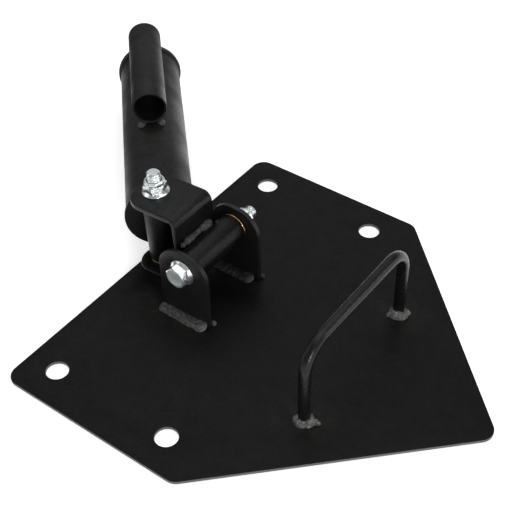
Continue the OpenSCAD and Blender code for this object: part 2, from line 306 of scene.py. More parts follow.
# %% Powder coat
def powder_coat(name, level, rough, peel, shine, cloud=0.14, smear=0.2, floor_lit_edges=0.0, burns=()):
    """Black powder coat. Burns are places, each a centre and a reach in metres."""
    material = bpy.data.materials.new(name)
    tree = Tree(material)
    clouds = tree.ramp(tree.noise(CLOUDS, 3.0, 0.6), 0.3, 0.7)
    grain = tree.noise(GRAIN, 3.0, 0.6)
    pebble = tree.noise(PEBBLE, 2.0, 0.6)
    specks = tree.ramp(tree.noise(DUST, 1.0, 0.4), 0.755, 0.80)
    tone = tree.blend(clouds, grey(level * 0.80, 0.02), grey(level * 1.25, 0.04))
    tone = tree.blend(tree.ramp(pebble, 0.35, 0.75) * 0.5, tone, grey(level * 1.9))
    haze = 0.0
    if burns:
        haze = burn_haze(tree, burns)
        tone = tree.blend(haze * 0.75, tone, SMOKE_BROWN)
    tone = tree.blend(specks * 0.16, tone, DUST_GREY)
    # Upright faces are painted lighter: painted light standing for the white floor lighting the plate's edges and
    # holes.
    if floor_lit_edges:
        tone = tree.blend(upright_faces(tree), tone, grey(floor_lit_edges))
    sheen = clouds * cloud + grain * 0.10 + haze * 0.12 + (rough - 0.04 - cloud / 2)
    relief = tree.bump(pebble * 0.8 + grain * 0.5, peel, PEEL_HEIGHT)
    dull, bright = (
        tree.principled(Base_Color=tone, Roughness=sheen, Normal=relief, Specular_IOR_Level=shine * share)
        for share in (1 - smear, 1 + smear))
    shaders = {0: wiped_patches(tree), 1: dull, 2: bright}
    tree.finish(tree.node("ShaderNodeMixShader", {}, shaders)["Shader"])
    return material


# %% [markdown]
# ## A coat for each piece
# The pieces don't shine alike in the photograph, so each one has its own level of black, roughness and
# shine. The ears' black is lighter than the others: painted light on their faces. The sleeve's sheen is the
# cloudiest. Burns lie along the ears' beads, at the handle's feet, and on the sleeve where the small tube is
# welded on.

# %% Coats
coat = powder_coat("powder_coat", level=0.0045, rough=0.34, peel=0.8, shine=0.18)
# The ears' lighter black is painted light on their faces.
ear_coat = powder_coat("ear_coat", level=0.0064, rough=0.34, peel=0.7, shine=0.28)
yoke_coat = powder_coat("yoke_coat", level=0.0044, rough=0.22, peel=0.5, shine=0.19, cloud=0.10)
barrel_coat = powder_coat("barrel_coat", level=0.0034, rough=0.28, peel=0.5, shine=0.16)
rod_coat = powder_coat("rod_coat", level=0.0046, rough=0.26, peel=0.35, shine=0.25)

SLEEVE_BURNS = (
    (tuple(sleeve_place @ Vector((0.030, 0.004, 0.132))), (0.045, 0.045, 0.030)),
    (tuple(sleeve_place @ Vector((0.026, 0.016, 0.095))), (0.030, 0.040, 0.024)),
)
sleeve_coat = powder_coat("sleeve_coat", level=0.0040, rough=0.36, peel=0.8, shine=0.24, cloud=0.40,
                          smear=0.4, burns=SLEEVE_BURNS)

PLATE_BURNS = (
    ((-0.014, -0.047, 0.003), (0.036, 0.014, 0.02)),
    ((-0.046, -0.044, 0.003), (0.026, 0.010, 0.02)),
    ((-0.006, 0.026, 0.003), (0.040, 0.015, 0.02)),
)
FOOT_BURN_REACH = (0.034, 0.028, 0.02)
for foot in ("handle_weld_front", "handle_weld_rear"):
    foot_low, foot_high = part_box(foot)
    foot_middle = ((foot_low[0] + foot_high[0]) / 2, (foot_low[1] + foot_high[1]) / 2, 0.003)
    PLATE_BURNS += ((foot_middle, FOOT_BURN_REACH),)
plate_coat = powder_coat("plate_coat", level=0.0031, rough=0.38, peel=0.8, shine=0.120, cloud=0.14,
                         smear=0.24, floor_lit_edges=0.13, burns=PLATE_BURNS)
print("coats:", [paint.name for paint in (coat, ear_coat, yoke_coat, barrel_coat, rod_coat, sleeve_coat,
                                           plate_coat)])

# %% [markdown]
# ## Coated weld metal
# A weld under powder looks greyer than the plate beside it. The coat is thin on its ripples and spatter, so
# its surface is rough, mottled and a little lighter. The same sums are used with larger, harder grain. Where
# a bead ends in a pool, the pool's rim catches the light: a painted highlight lightens the colour there. The
# rear ear's bead lies in shadow, so its copy of the weld is darker: painted shade.

# %% Weld
BLOTCH, SCALE, PITS = 300, 520, 850
RIPPLE_HEIGHT = 0.0008
END_IN = {"front_ear": 6.6, "rear_ear": 9.5}
RIM_PAST, RIM_OUT, RIM_UP = 0.004, 0.0044, 0.0045
RIM_REACH = (0.0045, 0.0065, 0.0065)


def pool_rim(ear):
    """The rim of the pool at an ear bead's end: a centre and a reach in metres."""
    ear_low, ear_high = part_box(ear)
    pool_x = ear_high[0] - END_IN[ear] * MM
    return (pool_x + RIM_PAST, ear_low[1] - RIM_OUT, RIM_UP), RIM_REACH


def weld_coat(name, low, high, rim=None, rim_highlight=0.0):
    """Coated weld metal. A rim is a place where a painted highlight lightens the colour."""
    material = bpy.data.materials.new(name)
    tree = Tree(material)
    blotch = tree.ramp(tree.noise(BLOTCH, 4.0, 0.65, 0.6), 0.38, 0.66)
    pits = tree.noise(PITS, 3.0, 0.7)
    scale = tree.ramp(tree.noise(SCALE, 2.0, 0.5), 0.60, 0.70)
    tone = tree.blend(blotch, grey(low), grey(high, 0.02))
    tone = tree.blend(scale * 0.6, tone, grey(high * 2.4))
    if rim:
        # A painted highlight on the pool's rim.
        tone = tree.blend(tree.near(*rim) * 0.8, tone, grey(rim_highlight))
    relief = tree.bump(pits + blotch * 0.8 + scale * 0.4, 0.95, RIPPLE_HEIGHT)
    tree.finish(tree.principled(Base_Color=tone, Roughness=0.27 + pits * 0.24, Normal=relief))
    return material


# The front pool's rim gets a painted highlight.
weld = weld_coat("weld_coat", low=0.017, high=0.078, rim=pool_rim("front_ear"), rim_highlight=0.17)
weld_feet = weld_coat("weld_feet", low=0.052, high=0.172)
weld_thin = weld_coat("weld_thin", low=0.013, high=0.070)
# The rear ear's bead is a darker copy of the weld: painted shade, as it lies in shadow; its pool's rim gets a
# painted highlight.
weld_shaded = weld_coat("weld_shaded", low=0.0030, high=0.0100, rim=pool_rim("rear_ear"), rim_highlight=0.10)
print("rim of the front pool at", [round(c, 4) for c in pool_rim("front_ear")[0]])

# %% [markdown]
# ## Bright zinc
# The bolts and nuts are zinc plated. Zinc is a mirror with a haze: almost white, a little blue, with soft
# blotches where the bath took unevenly and fine marks that only a close view shows. The end of the tilt
# bolt's head was pressed in a die, so it is duller than the flanks.

# %% Zinc
ZINC_SWELL, ZINC_HAZE, ZINC_MOTTLE, ZINC_SCUFF = 190, 220, 420, 1400
ZINC_DARK, ZINC_LIGHT = (0.72, 0.78, 0.79, 1), (0.92, 0.95, 0.94, 1)
ZINC_HEIGHT = 0.0006
HEAD_END_REACH = (0.010, 0.0016, 0.010)


def head_end(tree):
    """1 on the end of the tilt bolt's head, and 0 elsewhere."""
    bolt_low, bolt_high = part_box("tilt_bolt")
    middle = ((bolt_low[0] + bolt_high[0]) / 2, bolt_low[1], (bolt_low[2] + bolt_high[2]) / 2)
    return (tree.near(middle, HEAD_END_REACH) * 3.0).clamped()


def zinc_plate():
    material = bpy.data.materials.new("zinc_plate")
    tree = Tree(material)
    haze = tree.ramp(tree.noise(ZINC_HAZE, 3.0, 0.6), 0.3, 0.7)
    scuff = tree.noise(ZINC_SCUFF, 4.0, 0.7)
    swell = tree.noise(ZINC_SWELL, 1.0, 0.4)
    dull = head_end(tree)
    mottle = tree.ramp(tree.noise(ZINC_MOTTLE, 3.0, 0.6), 0.42, 0.62)
    tone = tree.blend(haze, ZINC_DARK, ZINC_LIGHT)
    relief = tree.bump(swell * 3.0 + scuff * 0.03, 0.18, ZINC_HEIGHT)
    metal = 0.95 - dull * (0.34 - mottle * 0.26)
    rough = 0.12 + haze * 0.10 + scuff * 0.06 + dull * 0.16
    tree.finish(tree.principled(Base_Color=tone, Metallic=metal, Roughness=rough, Normal=relief))
    return material


zinc = zinc_plate()
print("zinc:", zinc.name, "with", len(zinc.node_tree.nodes), "nodes")

# %% [markdown]
# ## Bronze, nylon and the liner
# The bushes are sintered bronze, with pores that hold oil. The lock rings are dyed nylon, softly glossy. The
# sleeve's liner is black plastic, smoother than the powder coat, with the faint scuffs of bars going in and
# out.

# %% Bronze, nylon and liner
STAINS, PORES = 160, 2600
PLASTIC_CLOUDS, PLASTIC_SCUFF = 90, 1100
FINE_HEIGHT = 0.0002


def bronze_bush():
    material = bpy.data.materials.new("bronze_bush")
    tree = Tree(material)
    stain = tree.ramp(tree.noise(STAINS, 3.0, 0.6), 0.3, 0.7)
    pores = tree.noise(PORES, 2.0, 0.6)
    tone = tree.blend(stain, (0.66, 0.36, 0.13, 1), (0.90, 0.60, 0.29, 1))
    relief = tree.bump(pores, 0.25, FINE_HEIGHT)
    tree.finish(tree.principled(Base_Color=tone, Metallic=1.0, Roughness=0.26 + stain * 0.14, Normal=relief))
    return material


def plastic(name, low, high, rough):
    material = bpy.data.materials.new(name)
    tree = Tree(material)
    cloud = tree.ramp(tree.noise(PLASTIC_CLOUDS, 3.0, 0.6), 0.3, 0.7)
    scuff = tree.noise(PLASTIC_SCUFF, 3.0, 0.65)
    tone = tree.blend(cloud, low, high)
    relief = tree.bump(scuff, 0.15, FINE_HEIGHT)
    tree.finish(tree.principled(Base_Color=tone, Roughness=scuff * 0.16 + rough, Normal=relief))
    return material


bronze = bronze_bush()
nylon = plastic("nylon_ring", low=(0.05, 0.20, 0.19, 1), high=(0.09, 0.30, 0.28, 1), rough=0.30)
liner_black = plastic("liner_plastic", low=grey(0.011), high=grey(0.017), rough=0.30)
print("materials:", len(bpy.data.materials))

# %% [markdown]
# ## Cut plate and bent strip
# The floor plate, the ears and the yoke are cut from sheet and, for the yoke, bent. Their outlines are
# already right in the CAD, but its edges are knife sharp, and no real edge is. A merged copy of the node
# gets a narrow bevel, which is what catches the thin line of light along each rim.

# %% Copies with softened edges
MERGE_WITHIN = 0.005 * MM
FLAT_WITHIN = math.radians(0.3)
CUT_EDGE_FROM = math.radians(40)
PLATE_RIM = 0.6 * MM
EAR_RIM = 0.7 * MM
STRIP_RIM = 0.9 * MM


def copy_of(node, name):
    """A new object with its own copy of a CAD node's mesh, picked."""
    piece = bpy.data.objects.new(name, frame["nodes"][node].data.copy())
    bpy.context.scene.collection.objects.link(piece)
    return pick(piece)


def softened(node, name, width, body, material=coat, segments=3, slot="powder_coat"):
    piece = copy_of(node, name)
    bpy.ops.mesh.customdata_custom_splitnormals_clear()
    bpy.ops.object.mode_set(mode="EDIT")
    bpy.ops.mesh.select_all(action="SELECT")
    bpy.ops.mesh.remove_doubles(threshold=MERGE_WITHIN)
    bpy.ops.mesh.dissolve_limited(angle_limit=FLAT_WITHIN)
    bpy.ops.object.mode_set(mode="OBJECT")
    if width:
        apply(piece, "BEVEL", width=width, segments=segments, limit_method="ANGLE",
              angle_limit=CUT_EDGE_FROM)
    smooth(piece)
    return finish_piece(piece, body, slot, material, node)


softened("base_plate", "floor_plate", PLATE_RIM, "base", plate_coat)
softened("front_ear", "ear_front", EAR_RIM, "base", ear_coat)
softened("rear_ear", "ear_rear", EAR_RIM, "base", ear_coat)
softened("yoke", "bent_yoke", STRIP_RIM, "yoke_group", yoke_coat, segments=4)
softened("handle", "grab_handle", 0, "base", rod_coat)

# %% [markdown]
# ## Turned pieces
# Tubes, discs, bushes and flanges are round, so each is one outline turned about an axis. The outline starts
# as a circle of as many points as the outline has, its points are moved into place, and Spin carries it
# round.

# %% The lathe
TURNS = 96
SMALL_TURNS = 72
SHANK_TURNS = 60
SEAM_WITHIN = 0.004 * MM


def lathe(name, outline, steps=TURNS):
    """Turn a closed outline of (radius, height) points, in millimetres, about Z."""
    bpy.ops.object.select_all(action="DESELECT")
    bpy.ops.mesh.primitive_circle_add(vertices=len(outline), location=(0, 0, 0))
    piece = bpy.context.object
    piece.name = name
    for vertex, (radius, height) in zip(piece.data.vertices, outline):
        vertex.co = (radius * MM, 0, height * MM)
    bpy.ops.object.mode_set(mode="EDIT")
    bpy.ops.mesh.select_all(action="SELECT")
    bpy.ops.mesh.spin(steps=steps, angle=2 * math.pi, center=(0, 0, 0), axis=(0, 0, 1))
    bpy.ops.mesh.select_all(action="SELECT")
    bpy.ops.mesh.remove_doubles(threshold=SEAM_WITHIN)
    bpy.ops.mesh.normals_make_consistent(inside=False)
    bpy.ops.object.mode_set(mode="OBJECT")
    return piece


# %% Outlines
def arc(centre, radius, start, end, steps=4):
    """Points of an arc in an outline, from one angle to another, in degrees."""
    angles = [math.radians(start + (end - start) * i / steps) for i in range(steps + 1)]
    return [(centre[0] + radius * math.cos(a), centre[1] + radius * math.sin(a)) for a in angles]


def tube_outline(outer, inner, low, high, edge):
    """A tube's wall, cut through, with its four rims rounded."""
    corners = [((outer - edge, low + edge), -90, 0), ((outer - edge, high - edge), 0, 90),
               ((inner + edge, high - edge), 90, 180), ((inner + edge, low + edge), 180, 270)]
    return [point for centre, start, end in corners for point in arc(centre, edge, start, end)]


print("a tube's wall has", len(tube_outline(2, 1, 0, 1, 0.1)), "points")

# %% [markdown]
# ## Sizes from the frame
# The lathe needs lengths along each axis. They are read back from the CAD nodes, so a change there is
# followed here. Only the small rounding of the rims is this script's own.

# %% Measuring a node along an axis
def span(node, matrix):
    """How far a node reaches along a place's own Z, and its largest radius, in millimetres."""
    back = matrix.inverted()
    points = [back @ vertex.co for vertex in frame["nodes"][node].data.vertices]
    heights = [point.z / MM for point in points]
    return min(heights), max(heights), max(math.hypot(point.x, point.y) for point in points) / MM


def bore(node, matrix):
    """A round node's smallest radius, in millimetres."""
    back = matrix.inverted()
    points = [back @ vertex.co for vertex in frame["nodes"][node].data.vertices]
    return min(math.hypot(point.x, point.y) for point in points) / MM


for node, matrix in (("sleeve_tube", sleeve_place), ("tilt_tube", tilt_place), ("swivel_tube", swivel_place)):
    print(node, [round(value, 2) for value in span(node, matrix)], "bore", round(bore(node, matrix), 2))

# %% [markdown]
# ## Tubes
# Four steel tubes: the bar sleeve, the small tube on top of it, and the two pivot tubes. Each one was sawn
# and deburred, so its rims are rounded by about half a millimetre.

# %% Turning the tubes
SAWN_RIM = 0.5
TOP_TUBE_RIM = 0.55
bar_tube_place = place(Vector(mounts["bar_tube_bore"]["pos_m"]), swivel_up, sleeve_way)
for node, name, matrix, edge, body, paint in (
        ("sleeve_tube", "sleeve_shell", sleeve_place, SAWN_RIM, "sleeve_group", sleeve_coat),
        ("bar_tube", "top_tube", bar_tube_place, TOP_TUBE_RIM, "sleeve_group", sleeve_coat),
        ("tilt_tube", "tilt_barrel", tilt_place, SAWN_RIM, "yoke_group", barrel_coat),
        ("swivel_tube", "swivel_barrel", swivel_place, SAWN_RIM, "sleeve_group", coat)):
    low, high, outer = span(node, matrix)
    piece = lathe(name, tube_outline(outer, bore(node, matrix), low, high, edge))
    settle(piece, matrix)
    finish_piece(smooth(piece), body, "powder_coat", paint, node)

# %% [markdown]
# ## Disc and liner
# A disc closes the sleeve's near end and stands a little proud of the tube. At the mouth a plastic liner
# ends in a flange with a rounded rim, and its bore opens in a short lead-in so that the bar finds its way.

# %% Turning the disc
DISC_RIM = 0.8
low, high, outer = span("sleeve_end_disc", sleeve_place)
disc_outline = [(0, low)] + arc((outer - DISC_RIM, low + DISC_RIM), DISC_RIM, -90, 0) \
    + arc((outer - DISC_RIM, high - DISC_RIM), DISC_RIM, 0, 90) + [(0, high)]
disc = settle(lathe("end_disc", disc_outline), sleeve_place)
finish_piece(smooth(disc), "sleeve_group", "powder_coat", coat, "sleeve_end_disc")

# %% Turning the liner
CLEARANCE = 0.02
LEAD_IN = 1.2
LEAD_DEPTH = 0.25
UNDER_RIM, OUTER_RIM = 0.7, 1.2
low, high, rim = span("sleeve_liner", sleeve_place)
inner = bore("sleeve_liner", sleeve_place)
sleeve_high = span("sleeve_tube", sleeve_place)[1]
wall = bore("sleeve_tube", sleeve_place) - CLEARANCE
liner_outline = [(inner, low), (wall, low), (wall, sleeve_high)] \
    + arc((rim - UNDER_RIM, sleeve_high + UNDER_RIM), UNDER_RIM, -90, 0) \
    + arc((rim - OUTER_RIM, high - OUTER_RIM), OUTER_RIM, 0, 90) \
    + [(inner + LEAD_IN, high), (inner + LEAD_DEPTH, high - LEAD_IN), (inner, high - 2 * LEAD_IN)]
liner = settle(lathe("mouth_liner", liner_outline), sleeve_place)
finish_piece(smooth(liner), "sleeve_group", "liner_plastic", liner_black, "sleeve_liner")

# %% [markdown]
# ## Bushes
# Four bronze bushes are the same part. One is turned with its flange down, then copied to the ends of both
# pivot tubes. Only the flange's rim shows, as a thin golden line.

# %% Turning one bush and copying it
def flip(matrix, height, turned):
    """A place at a height on an axis, turned over where turned is true."""
    move = Matrix.Translation((0, 0, height * MM))
    return matrix @ move @ (Matrix.Rotation(math.pi, 4, "X") if turned else Matrix.Identity(4))


def copied(piece, name, matrix):
    twin = bpy.data.objects.new(name, piece.data.copy())
    bpy.context.scene.collection.objects.link(twin)
    return settle(twin, matrix)


BUSH_RIM = 0.3
BUSH_LEAD = 0.5
low, high, flange = span("tilt_bush_front", tilt_place)
length = high - low
inner = bore("tilt_bush_front", tilt_place)
tube_low = span("tilt_tube", tilt_place)[0]
body_r = bore("tilt_tube", tilt_place) - CLEARANCE
flange_t = tube_low - low
flange_rim = flange - BUSH_RIM
bush_outline = [(inner + BUSH_RIM, 0)] + arc((flange_rim, BUSH_RIM), BUSH_RIM, -90, 0, 3) \
    + arc((flange_rim, flange_t - BUSH_RIM), BUSH_RIM, 0, 90, 3) \
    + [(body_r, flange_t), (body_r, length - BUSH_LEAD), (body_r - BUSH_LEAD, length)] \
    + [(inner, length), (inner, BUSH_RIM)]
bush = smooth(lathe("bush", bush_outline, SMALL_TURNS), 30)
swivel_low, swivel_high, _ = span("swivel_bush_lower", swivel_place)
upper_top = span("swivel_bush_upper", swivel_place)[1]
rear_top = span("tilt_bush_rear", tilt_place)[1]
for name, matrix, node, body in (
        ("front_bush", flip(tilt_place, low, False), "tilt_bush_front", "yoke_group"),
        ("rear_bush", flip(tilt_place, rear_top, True), "tilt_bush_rear", "yoke_group"),
        ("lower_bush", flip(swivel_place, swivel_low, False), "swivel_bush_lower", "sleeve_group"),
        ("upper_bush", flip(swivel_place, upper_top, True), "swivel_bush_upper", "sleeve_group")):
    finish_piece(copied(bush, name, matrix), body, "bronze", bronze, node)
bpy.data.objects.remove(bush)

# %% [markdown]
# ## Hex flange bolts
# A flange bolt is a cone of a flange, a hexagon whose corners are turned away at the top, and a shank that
# is threaded toward its end. The hexagon is a six-sided cylinder cut by a turned cone. The thread is real:
# the shank's points are moved in and out along a helix.

# %% Hexagon
AF = 18.0
CORNER = AF / math.sqrt(3)
PAST_CORNER = 0.6
TURNED_FACE = AF / 2 * 0.95
CORNER_SLOPE = math.radians(30)


def cut(piece, tool, operation):
    """Join, cut or keep the common part of two closed shapes, and drop the tool."""
    apply(piece, "BOOLEAN", operation=operation, object=tool, solver="EXACT")
    bpy.data.objects.remove(tool)
    return piece


def hexagon(name, low, high, turn):
    """A hexagon with its top corners turned away."""
    bpy.ops.object.select_all(action="DESELECT")
    bpy.ops.mesh.primitive_cylinder_add(vertices=6, radius=CORNER * MM, depth=(high - low) * MM,
                                        location=(0, 0, (high + low) / 2 * MM), rotation=(0, 0, turn))
    piece = settle(bpy.context.object)
    piece.name = name
    reach = CORNER + PAST_CORNER
    fall = (reach - TURNED_FACE) * math.tan(CORNER_SLOPE)
    outline = [(0, low - 1), (reach, low - 1), (reach, high - fall), (TURNED_FACE, high), (0, high)]
    return cut(piece, lathe(name + "_tool", outline), "INTERSECT")


print("hexagon", AF, "mm across flats and", round(CORNER * 2, 2), "across corners")

# %% Thread
PITCH = 1.75
THREAD_DEPTH = 1.0
ROOT_FLAT, FLANK = 0.12, 0.70


def thread(piece, radius, low, high):
    """Move the points of a shank along a helix between two heights."""
    for vertex in piece.data.vertices:
        x, y, z = (c / MM for c in vertex.co)
        here = math.hypot(x, y)
        if here < 0.5 * radius or not low < z < high:
            continue
        phase = (z / PITCH - math.atan2(y, x) / (2 * math.pi)) % 1
        crest = min(1, max(0, (abs(2 * phase - 1) - ROOT_FLAT) / FLANK))
        fade = min(1, (z - low) / PITCH)
        groove = radius - THREAD_DEPTH * (1 - crest) * fade
        scale = min(here, groove) / here
        vertex.co = (x * scale * MM, y * scale * MM, z * MM)


print("thread of pitch", PITCH, "mm")

# %% Bolt
FLANGE_T, FLANGE_RISE, FLANGE_EDGE = 1.3, 3.2, 0.5
INSIDE_FLATS = 0.2
HEX_START = 0.5
BOLT_TIP, TIP_STEPS = 1.3, 5
RING_STEP = 0.22
DISH_DEPTH, DISH_FLOOR, DISH_MOUTH = 0.15, AF * 0.33, AF * 0.36
DISH_TOOL_UP = 0.3
HEAD_RIM = 0.22 * MM
PRESSED_FROM = math.radians(28)
PRESSED_SMOOTH = 32


def bolt(name, head, radius, flange, length, threaded, turn):
    """A flange bolt: flange on the origin, head below, and shank up the Z axis, threaded from a height."""
    steps = int((length - threaded) / RING_STEP)
    rings = [(radius, threaded + (length - BOLT_TIP - threaded) * i / steps) for i in range(steps + 1)]
    tip = [(radius - BOLT_TIP * i / TIP_STEPS, length - BOLT_TIP * (1 - i / TIP_STEPS))
           for i in range(1, TIP_STEPS + 1)]
    piece = lathe(name, [(0, -1), (radius, -1)] + rings + tip + [(0, length)], SHANK_TURNS)
    thread(piece, radius, threaded, length + 1)
    edge = flange - FLANGE_EDGE
    cone = [(0, 0)] + arc((edge, -FLANGE_EDGE), FLANGE_EDGE, 90, 0, 3) \
        + arc((edge, -FLANGE_T + FLANGE_EDGE), FLANGE_EDGE, 0, -60, 3) \
        + [(AF / 2 - INSIDE_FLATS, -FLANGE_RISE), (0, -FLANGE_RISE)]
    top = hexagon("hexagon", HEX_START, head, turn)
    settle(top, Matrix.Rotation(math.pi, 4, "X"))
    cut(top, lathe("cone", cone), "UNION")
    dish = [(0, -head + DISH_DEPTH), (DISH_FLOOR, -head + DISH_DEPTH),
            (DISH_MOUTH, -head - DISH_TOOL_UP), (0, -head - DISH_TOOL_UP)]
    cut(top, lathe("dish", dish), "DIFFERENCE")
    apply(top, "BEVEL", width=HEAD_RIM, segments=2, limit_method="ANGLE", angle_limit=PRESSED_FROM)
    return smooth(cut(piece, top, "UNION"), PRESSED_SMOOTH)


# %% Both bolts
SHANK_R = 6.0
THREAD_FROM = 74
TILT_HEAD_TURN = math.radians(47)
SWIVEL_HEAD_TURN = math.radians(20)
ear_face = span("front_ear", tilt_place)[0]
tilt_low, tilt_high, tilt_flange = span("tilt_bolt", tilt_place)
HEAD = ear_face - tilt_low
tilt_bolt = bolt("tilt_flange_bolt", HEAD, SHANK_R, tilt_flange, tilt_high - ear_face, THREAD_FROM,
                 TILT_HEAD_TURN)
settle(tilt_bolt, flip(tilt_place, ear_face, False))
finish_piece(tilt_bolt, "base", "zinc", zinc, "tilt_bolt")

swivel_low, swivel_high, _ = span("swivel_bolt", swivel_place)
arm_face = swivel_low + HEAD
swivel_bolt = bolt("swivel_flange_bolt", HEAD, SHANK_R, tilt_flange, swivel_high - arm_face, THREAD_FROM,
                   SWIVEL_HEAD_TURN)
settle(swivel_bolt, flip(swivel_place, arm_face, False))
finish_piece(swivel_bolt, "yoke_group", "zinc", zinc, "swivel_bolt")

# %% [markdown]
# ## Flange lock nuts
# The nut carries the same flange and hexagon. Above them a thin collar is rolled over a nylon ring, which
# grips the thread and shows as a green line. The collar's outline is turned with its lip, and the bore is
# cut last.

# %% The nut and its ring
RING_T, LIP = 2.6, 0.9
COLLAR = AF * 0.48
ROLL, ROLL_FROM = 1.3, 1.6
MOUTH_R, MOUTH_DEPTH, TAPPED_R = 6.6, 0.6, 6.04
RING_SEAT, LIP_R, LIP_MOUTH, LIP_START = 7.72, 7.0, 7.15, 0.25
NUT_RIM = 0.2 * MM
RING_RIM = 0.35


def nut(name, height, flange, turn):
    """A flange nut on the origin, with a collar rolled over its ring."""
    hex_top = height - RING_T - LIP
    edge = flange - FLANGE_EDGE
    outline = [(0, 0)] + arc((edge, FLANGE_EDGE), FLANGE_EDGE, -90, 0, 3) \
        + arc((edge, FLANGE_T - FLANGE_EDGE), FLANGE_EDGE, 0, 60, 3) \
        + [(AF / 2 - INSIDE_FLATS, FLANGE_RISE), (COLLAR, FLANGE_RISE), (COLLAR, height - ROLL_FROM)] \
        + arc((COLLAR - ROLL, height - ROLL), ROLL, 0, 90, 6) + [(0, height)]
    piece = cut(hexagon(name, HEX_START, hex_top, turn), lathe("collar", outline), "UNION")
    ring_top = hex_top + RING_T
    bore_outline = [(0, -1), (MOUTH_R, -1), (MOUTH_R, 0), (TAPPED_R, MOUTH_DEPTH), (TAPPED_R, hex_top),
                    (RING_SEAT, hex_top), (RING_SEAT, ring_top), (LIP_R, ring_top + LIP_START),
                    (LIP_MOUTH, height + 1), (0, height + 1)]
    cut(piece, lathe("bore", bore_outline), "DIFFERENCE")
    apply(piece, "BEVEL", width=NUT_RIM, segments=2, limit_method="ANGLE", angle_limit=PRESSED_FROM)
    return smooth(piece, PRESSED_SMOOTH)


def lock_ring(name, low, high, outer, inner):
    return smooth(lathe(name, tube_outline(outer, inner, low, high, RING_RIM), SMALL_TURNS))


# %% Both nuts
rear_face = span("rear_ear", tilt_place)[1]
top_face = span("swivel_nut", swivel_place)[0]
nut_low, nut_high, nut_flange = span("tilt_nut", tilt_place)
for name, matrix, height, body, node, turn in (
        ("tilt_lock_nut", tilt_place, rear_face, "base", "tilt_nut", 10),
        ("swivel_lock_nut", swivel_place, top_face, "yoke_group", "swivel_nut", 24)):
    piece = nut(name, nut_high - nut_low, nut_flange, math.radians(turn))
    settle(piece, flip(matrix, height, False))
    finish_piece(piece, body, "zinc", zinc, node)
    low, high, outer = span(node + "_ring", matrix)
    ring = lock_ring(node + "_nylon", low, high, outer, bore(node + "_ring", matrix))
    finish_piece(settle(ring, matrix), body, "nylon", nylon, node + "_ring")

# %% [markdown]
# ## Weld beads
# A weld is a row of puddles that froze one after another, under a coat of powder. Each bead starts as a
# chain of squashed balls of slightly different size along a path. They are remeshed into one skin and
# smoothed, and the uneven row stays visible. The balls' sizes come from a seeded list, so a bead comes out
# the same every time.

# %% Puddles
random.seed(7)
FLAT_SWAY = 0.4


def puddles(name, balls, shape=(1, 1, 1)):
    """Join balls, each a centre and a radius in millimetres, squashed to one shape."""
    made = []
    for centre, radius in balls:
        bpy.ops.object.select_all(action="DESELECT")
        bpy.ops.mesh.primitive_ico_sphere_add(subdivisions=3, radius=radius * MM,
                                              location=Vector(centre) * MM)
        bpy.context.object.scale = shape
        made.append(bpy.context.object)
    pick(made[0])
    for ball in made[1:]:
        ball.select_set(True)
    if len(made) > 1:
        bpy.ops.object.join()
    made[0].name = name
    return settle(made[0])


def chain(start, stop, sizes, uneven=0.14, wander=0.5, gap=0.4):
    """Uneven balls in a row between two points, from one size to another."""
    start, stop = Vector(start), Vector(stop)
    total = (stop - start).length
    here, balls = 0.0, []
    while here <= total:
        size = sizes[0] + (sizes[1] - sizes[0]) * here / total
        radius = size * random.uniform(1 - uneven, 1 + uneven)
        sway = Vector([random.uniform(-wander, wander) for _ in range(3)])
        sway.z *= FLAT_SWAY
        balls.append((start.lerp(stop, here / total) + sway, radius))
        here += radius * gap * random.uniform(0.85, 1.15)
    return balls


# %% Melting and trimming
def melt(piece, voxel, passes, factor=0.5):
    """Melt a chain of balls into one smooth skin."""
    apply(piece, "REMESH", mode="VOXEL", voxel_size=voxel * MM)
    apply(piece, "SMOOTH", factor=factor, iterations=passes)
    pick(piece)
    bpy.ops.object.shade_smooth()
    return piece


def trim(piece, point, normal):
    """Cut away what lies on the side that the normal points to, and close the cut."""
    pick(piece)
    bpy.ops.object.mode_set(mode="EDIT")
    bpy.ops.mesh.select_all(action="SELECT")
    bpy.ops.mesh.bisect(plane_co=Vector(point) * MM, plane_no=normal, clear_outer=True, use_fill=True)
    bpy.ops.object.mode_set(mode="OBJECT")
    return piece


# %% [markdown]
# ### Beads at the ears' feet
# One long bead runs along each ear's front, wider on the plate than up the ear, and ends in a round pool
# where the welder stopped. Short beads hold the corners behind. The underside is trimmed at the plate's top,
# a little inside the plate, so that no gap opens.

# %% Joining pieces, and the pool
PLATE_TOP = 3.0
POOL_FLATNESS, FILL_FLATNESS = 0.10, 0.42
FILL_DOWN = 1.7


def box_mm(node):
    low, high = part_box(node)
    return [c / MM for c in low], [c / MM for c in high]


def joined(first, *others):
    pick(first)
    for other in others:
        other.select_set(True)
    bpy.ops.object.join()
    return first


def pool(centre, radius, rim, tilt):
    """The round pool where a bead ends: a raised ring with a shallow dish in it."""
    middle = puddles("pool", [((0, 0, 0), radius)], (1, 1, POOL_FLATNESS))
    fill = puddles("fill", [((0, 0, 0), radius)], (1, 1, FILL_FLATNESS))
    fill.location.z = -FILL_DOWN * MM
    bpy.ops.object.select_all(action="DESELECT")
    bpy.ops.mesh.primitive_torus_add(major_radius=radius * MM, minor_radius=rim * MM, major_segments=48,
                                     minor_segments=12)
    ring = bpy.context.object
    pool_piece = joined(settle(middle), settle(fill), settle(ring))
    return settle(pool_piece, Matrix.Translation(Vector(centre) * MM) @ Matrix.Rotation(tilt, 4, "X"))


print("plate top at", PLATE_TOP, "mm")

# %% Ear beads
INTO_STEEL = 0.4
ROW_START, ROW_OUT, ROW_DOWN, ROW_STOP = 3.2, 0.6, 0.3, 1.4
ROW_SIZES, ROW_SHAPE = (4.5, 4.7), (1, 1.75, 0.86)
POOL_OUT, POOL_UP, POOL_R, POOL_EDGE = 3.8, 2.3, 5.0, 0.95
POOL_TILT = math.radians(24)
CORNER_IN = 0.8
CORNER_SHAPE = (1, 1, 0.9)


